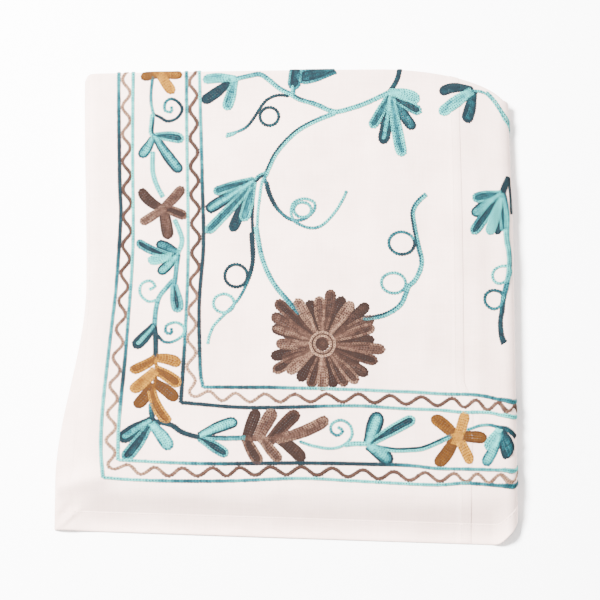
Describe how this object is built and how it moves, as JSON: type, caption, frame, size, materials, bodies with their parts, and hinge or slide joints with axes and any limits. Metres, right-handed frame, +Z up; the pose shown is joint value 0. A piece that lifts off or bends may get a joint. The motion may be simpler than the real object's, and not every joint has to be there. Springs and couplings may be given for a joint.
{
  "type": "embroidered bedspread",
  "caption": "Folded cotton bedspread with hemmed edges, a felled seam and chain-stitch flower, vine and border embroidery.",
  "frame": {"origin": "middle of the bounding box, on the ground plane under the folded pile", "axes": "+Z up from the ground, +X across the pile from the side hem to the rounded fold, +Y from the end hem to the sharp fold"},
  "size_m": [0.5992, 0.6348, 0.0321],
  "materials": {
    "side_cotton": "matt plain-weave cotton, off-white",
    "main_cotton": "matt plain-weave cotton, off-white",
    "wool_yarn": "matt two-ply wool yarn, teal, brown and ochre"
  },
  "bodies": {
    "root": {"side_panel": "side_cotton", "main_panel": "main_cotton"}
  },
  "joints": []
}
